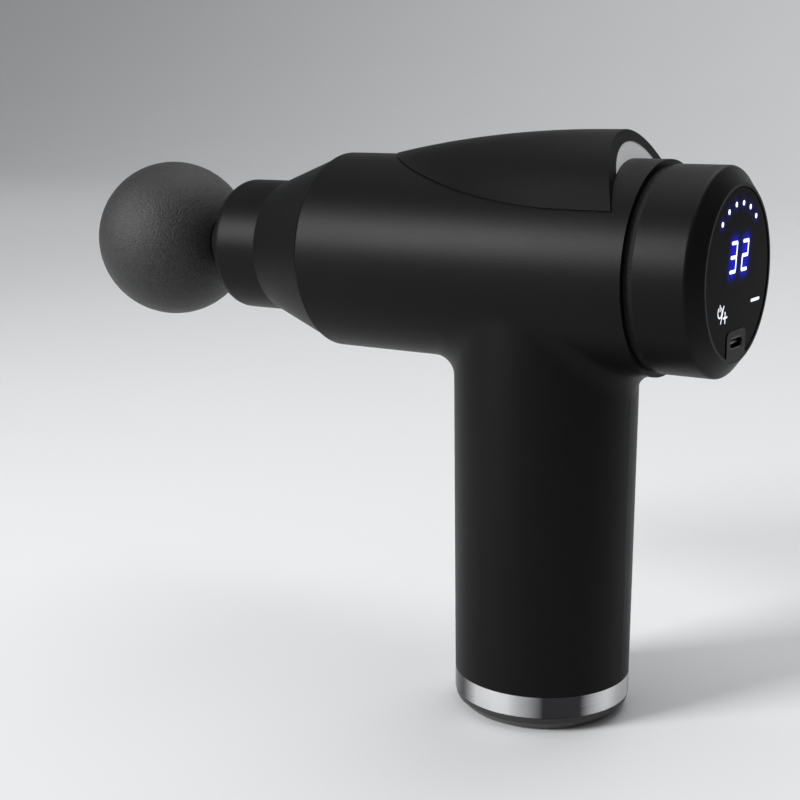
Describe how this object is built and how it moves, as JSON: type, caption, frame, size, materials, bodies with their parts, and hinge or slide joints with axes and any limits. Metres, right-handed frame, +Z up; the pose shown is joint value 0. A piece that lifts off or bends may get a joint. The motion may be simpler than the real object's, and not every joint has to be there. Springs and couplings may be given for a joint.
{
  "type": "massage gun",
  "caption": "Handheld percussion massager: round barrel with a ball head, a sloped top fairing, a rear touch display, and a battery handle with a metal-ringed round base it stands on.",
  "frame": {"origin": "centre of the round foot pad's underside, on the handle's axis", "axes": "+Z up along the handle, -X towards the ball head, +X towards the display"},
  "size_m": [0.2258, 0.06, 0.1722],
  "materials": {
    "housing_black": "matte",
    "insert_grey": "matte",
    "window_black": "gloss",
    "trim_metal": "polished",
    "foam_black": "matte",
    "rubber_black": "matte",
    "core_plastic": "satin",
    "bush_bronze": "satin",
    "screw_steel": "satin",
    "bright_steel": "polished",
    "lamination": "satin",
    "copper": "satin",
    "bell_steel": "satin",
    "magnet": "polished",
    "alloy": "satin",
    "port_metal": "polished",
    "nickel": "satin",
    "cell_wrap": "gloss",
    "holder_black": "matte",
    "board_green": "satin",
    "component_black": "satin",
    "digit_white": "satin",
    "led_blue": "gloss",
    "lead_red": "satin",
    "lead_yellow": "satin",
    "lead_grey": "satin"
  },
  "bodies": {
    "housing": {"housing_left": "housing_black", "housing_right": "housing_black", "housing_screws": "screw_steel", "screw_plugs": "housing_black", "top_fairing": "housing_black", "fairing_insert": "insert_grey", "nose_cone": "housing_black", "nose_collar": "housing_black", "dust_seal": "rubber_black", "guide_tube": "core_plastic", "guide_screws": "screw_steel", "front_bush": "bush_bronze", "rear_bush": "bush_bronze", "nose_damper": "rubber_black", "rear_band": "housing_black", "rear_cap": "housing_black", "display_window": "window_black", "display_board": "board_green", "digit_module": "digit_white", "level_leds": "led_blue", "touch_springs": "nickel", "charge_port": "port_metal", "driver_board": "board_green", "driver_parts": "component_black", "base_ring": "trim_metal", "base_cap": "housing_black", "base_screws": "screw_steel", "foot_pad": "rubber_black", "battery_cells": "cell_wrap", "cell_holder_bottom": "holder_black", "cell_holder_top": "holder_black", "cell_links": "nickel", "battery_board": "board_green", "motor_mount": "alloy", "motor_screws": "screw_steel", "motor_bearings": "bright_steel", "stator_core": "lamination", "stator_windings": "copper", "drive_frame": "core_plastic", "battery_leads": "lead_red", "motor_leads": "lead_yellow", "display_cable": "lead_grey"},
    "crank": {"rotor_bell": "bell_steel", "rotor_magnets": "magnet", "motor_shaft": "bright_steel", "crank_wheel": "bright_steel", "crank_pin": "bright_steel"},
    "rod": {"connecting_rod": "alloy", "rod_bearing": "bright_steel"},
    "piston": {"piston_clevis": "alloy", "wrist_pin": "bright_steel", "pin_clips": "bright_steel", "push_shaft": "alloy"},
    "head": {"ball_head": "foam_black", "head_core": "core_plastic", "head_rings": "rubber_black"}
  },
  "joints": [
    {"name": "crank_spin", "type": "hinge", "parent": "housing", "child": "crank", "pos_m": [0, 0, 0.1343], "axis": [0, 0, 1], "range_deg": [0, 180]},
    {"name": "rod_swing", "type": "hinge", "parent": "crank", "child": "rod", "pos_m": [0.005, 0, 0.1343], "axis": [0, 0, 1], "range_deg": [-180.1, 0]},
    {"name": "piston_slide", "type": "slide", "parent": "housing", "child": "piston", "axis": [-1, 0, 0], "range_m": [0, 0.01]},
    {"name": "head_pull", "type": "slide", "parent": "piston", "child": "head", "axis": [-1, 0, 0], "range_m": [0, 0.03]}
  ],
  "couplings": [
    {"joint": "rod_swing", "follows": "crank_spin", "ratio": -1},
    {"joint": "piston_slide", "follows": "crank_spin", "m_per_rad": 0.003183}
  ]
}
